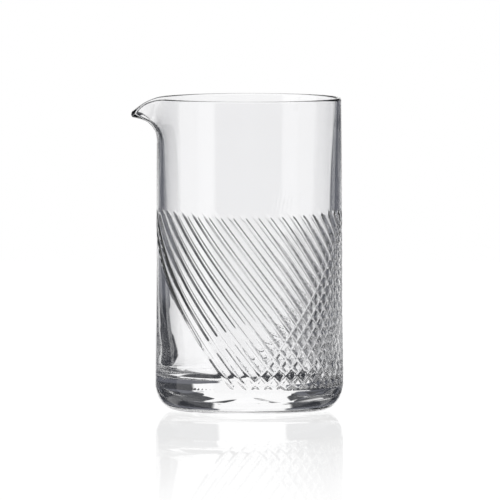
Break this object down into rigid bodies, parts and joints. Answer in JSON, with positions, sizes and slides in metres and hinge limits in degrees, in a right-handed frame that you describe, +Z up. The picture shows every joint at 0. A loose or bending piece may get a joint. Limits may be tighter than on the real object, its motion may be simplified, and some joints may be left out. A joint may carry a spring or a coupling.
{
  "type": "mixing glass",
  "caption": "Straight-sided clear stirring glass with a thick solid base, a diamond-cut wall and a small pulled pouring spout.",
  "frame": {"origin": "centre of the flat foot, on the table plane", "axes": "+Z up along the axis of the glass; the pouring spout points towards -X; Y runs across the spout"},
  "size_m": [0.0995, 0.0884, 0.147],
  "materials": {
    "clear_glass": "clear, polished"
  },
  "bodies": {
    "root": {"glass_vessel": "clear_glass"}
  },
  "joints": []
}
